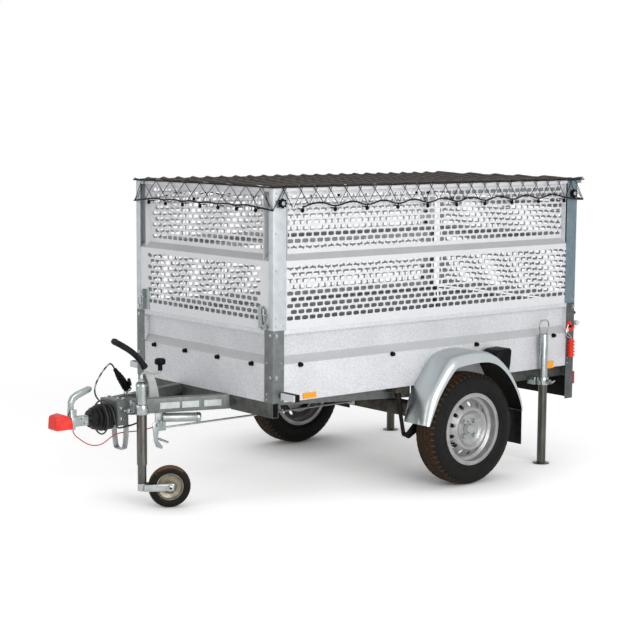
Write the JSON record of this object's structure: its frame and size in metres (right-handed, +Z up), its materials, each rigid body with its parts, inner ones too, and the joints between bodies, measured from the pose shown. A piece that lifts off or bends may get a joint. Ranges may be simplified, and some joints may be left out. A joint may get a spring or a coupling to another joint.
{
  "type": "utility trailer",
  "caption": "Small braked box trailer with perforated raised sides, flat cargo net, V drawbar, overrun coupling, jockey wheel and drop-down support legs.",
  "frame": {"origin": "on the ground, under the middle of the bounding box", "axes": "+X to the trailer's left side, -Y towards the drawbar and coupling, +Z up"},
  "size_m": [1.539, 2.9614, 1.5106],
  "materials": {
    "galvanised_frame": "hot-dip galvanised, dull and lightly mottled",
    "dark_running_gear": "black paint, satin",
    "floor_ply": "film-faced plywood, dark brown",
    "wall_sheet": "zinc and aluminium coated sheet, fine grain, satin",
    "post_paint": "slate grey coating, satin",
    "black_plastic": "moulded, matt",
    "net_fabric": "close-woven dark net",
    "cord_rubber": "covered elastic cord",
    "bright_zinc": "zinc plated, semi-bright",
    "lamp_red": "clear red lens over a dark housing",
    "lamp_white": "clear lens on a black base",
    "reflector_amber": "moulded reflector",
    "housing_cast": "galvanised casting, dull",
    "linkage_steel": "dull zinc, dusty",
    "latch_orange": "red-orange moulded grips on zinc plates",
    "cable_sheath": "black flexible sheath",
    "breakaway_red": "red coated wire",
    "tyre_rubber": "road tyre, brown dust in the grooves",
    "rim_silver": "silver lacquer, satin",
    "jockey_tyre": "solid rubber on a dull plastic hub",
    "lever_grey": "light grey arm with a black grip",
    "cap_red": "soft red cap",
    "bellows_rubber": "folded rubber boot"
  },
  "bodies": {
    "chassis": {"drawbar_rails": "galvanised_frame", "crossmembers": "galvanised_frame", "side_members": "galvanised_frame", "axle_beam": "galvanised_frame", "swing_arms": "dark_running_gear", "shock_absorbers": "dark_running_gear", "floor_panel": "floor_ply", "front_wall": "wall_sheet", "left_wall": "wall_sheet", "right_wall": "wall_sheet", "lower_posts": "post_paint", "upper_posts": "post_paint", "front_mesh": "wall_sheet", "left_mesh": "wall_sheet", "right_mesh": "wall_sheet", "rear_header": "wall_sheet", "knobs": "black_plastic", "net_hooks": "black_plastic", "cargo_net": "net_fabric", "net_cord": "cord_rubber", "mesh_latches": "bright_zinc", "mudguards": "bright_zinc", "mudflaps": "black_plastic", "wheel_chocks": "black_plastic", "light_board": "dark_running_gear", "tail_lamps": "lamp_red", "front_lamps": "lamp_white", "side_reflectors": "reflector_amber", "leg_clamps": "bright_zinc", "jockey_clamp": "bright_zinc", "hinges": "bright_zinc", "overrun_housing": "housing_cast", "support_hoop": "galvanised_frame", "brake_linkage": "linkage_steel", "plug_holder": "bright_zinc", "tailgate_latches": "latch_orange", "light_cable": "cable_sheath", "breakaway_cable": "breakaway_red", "cable_gland": "black_plastic", "plug": "black_plastic"},
    "wheel_left": {"tyre_left": "tyre_rubber", "rim_left": "rim_silver", "drum_left": "linkage_steel"},
    "wheel_right": {"tyre_right": "tyre_rubber", "rim_right": "rim_silver", "drum_right": "linkage_steel"},
    "jockey_tube": {"jockey_tube": "bright_zinc"},
    "jockey_crank": {"jockey_crank": "bright_zinc"},
    "jockey_inner": {"jockey_inner": "bright_zinc"},
    "jockey_fork": {"jockey_fork": "bright_zinc"},
    "jockey_wheel": {"jockey_wheel": "jockey_tyre"},
    "leg_left": {"leg_left": "bright_zinc"},
    "leg_right": {"leg_right": "bright_zinc"},
    "tailgate": {"tailgate": "wall_sheet"},
    "rear_gate": {"rear_gate": "wall_sheet"},
    "handbrake_lever": {"handbrake_lever": "lever_grey"},
    "coupling": {"coupling_body": "bright_zinc", "coupling_cap": "cap_red", "bellows": "bellows_rubber"},
    "coupling_handle": {"coupling_handle": "bright_zinc"}
  },
  "joints": [
    {"name": "wheel_left_spin", "type": "hinge", "parent": "chassis", "child": "wheel_left", "pos_m": [0.682, 0.49725, 0.282], "axis": [1, 0, 0], "continuous": true},
    {"name": "wheel_right_spin", "type": "hinge", "parent": "chassis", "child": "wheel_right", "pos_m": [-0.682, 0.49725, 0.282], "axis": [1, 0, 0], "continuous": true},
    {"name": "jockey_tube_height", "type": "slide", "parent": "chassis", "child": "jockey_tube", "axis": [0, 0, 1], "range_m": [0, 0.2]},
    {"name": "jockey_crank_turn", "type": "hinge", "parent": "jockey_tube", "child": "jockey_crank", "pos_m": [0.152, -1.07875, 0.6], "axis": [0, 0, 1], "continuous": true},
    {"name": "jockey_extend", "type": "slide", "parent": "jockey_tube", "child": "jockey_inner", "axis": [0, 0, -1], "range_m": [0, 0.15]},
    {"name": "jockey_swivel", "type": "hinge", "parent": "jockey_inner", "child": "jockey_fork", "pos_m": [0.152, -1.07875, 0.1], "axis": [0, 0, 1], "continuous": true},
    {"name": "jockey_wheel_spin", "type": "hinge", "parent": "jockey_fork", "child": "jockey_wheel", "pos_m": [0.21011, -0.9647, 0.1], "axis": [0.891, -0.454, 0], "continuous": true},
    {"name": "leg_left_height", "type": "slide", "parent": "chassis", "child": "leg_left", "axis": [0, 0, 1], "range_m": [0, 0.25]},
    {"name": "leg_right_height", "type": "slide", "parent": "chassis", "child": "leg_right", "axis": [0, 0, 1], "range_m": [0, 0.25]},
    {"name": "tailgate_swing", "type": "hinge", "parent": "chassis", "child": "tailgate", "pos_m": [0, 1.47325, 0.5], "axis": [-1, 0, 0], "range_deg": [0, 175]},
    {"name": "rear_gate_swing", "type": "hinge", "parent": "chassis", "child": "rear_gate", "pos_m": [0, 1.47325, 1.3843], "axis": [1, 0, 0], "range_deg": [0, 100]},
    {"name": "handbrake_pull", "type": "hinge", "parent": "chassis", "child": "handbrake_lever", "pos_m": [-0.03, -0.87075, 0.452], "axis": [-1, 0, 0], "range_deg": [-10, 60]},
    {"name": "overrun_slide", "type": "slide", "parent": "chassis", "child": "coupling", "axis": [0, 1, 0], "range_m": [0, 0.08], "deforming": ["bellows"]},
    {"name": "coupling_handle_lift", "type": "hinge", "parent": "coupling", "child": "coupling_handle", "pos_m": [0, -1.36775, 0.47], "axis": [1, 0, 0], "range_deg": [0, 45]}
  ]
}
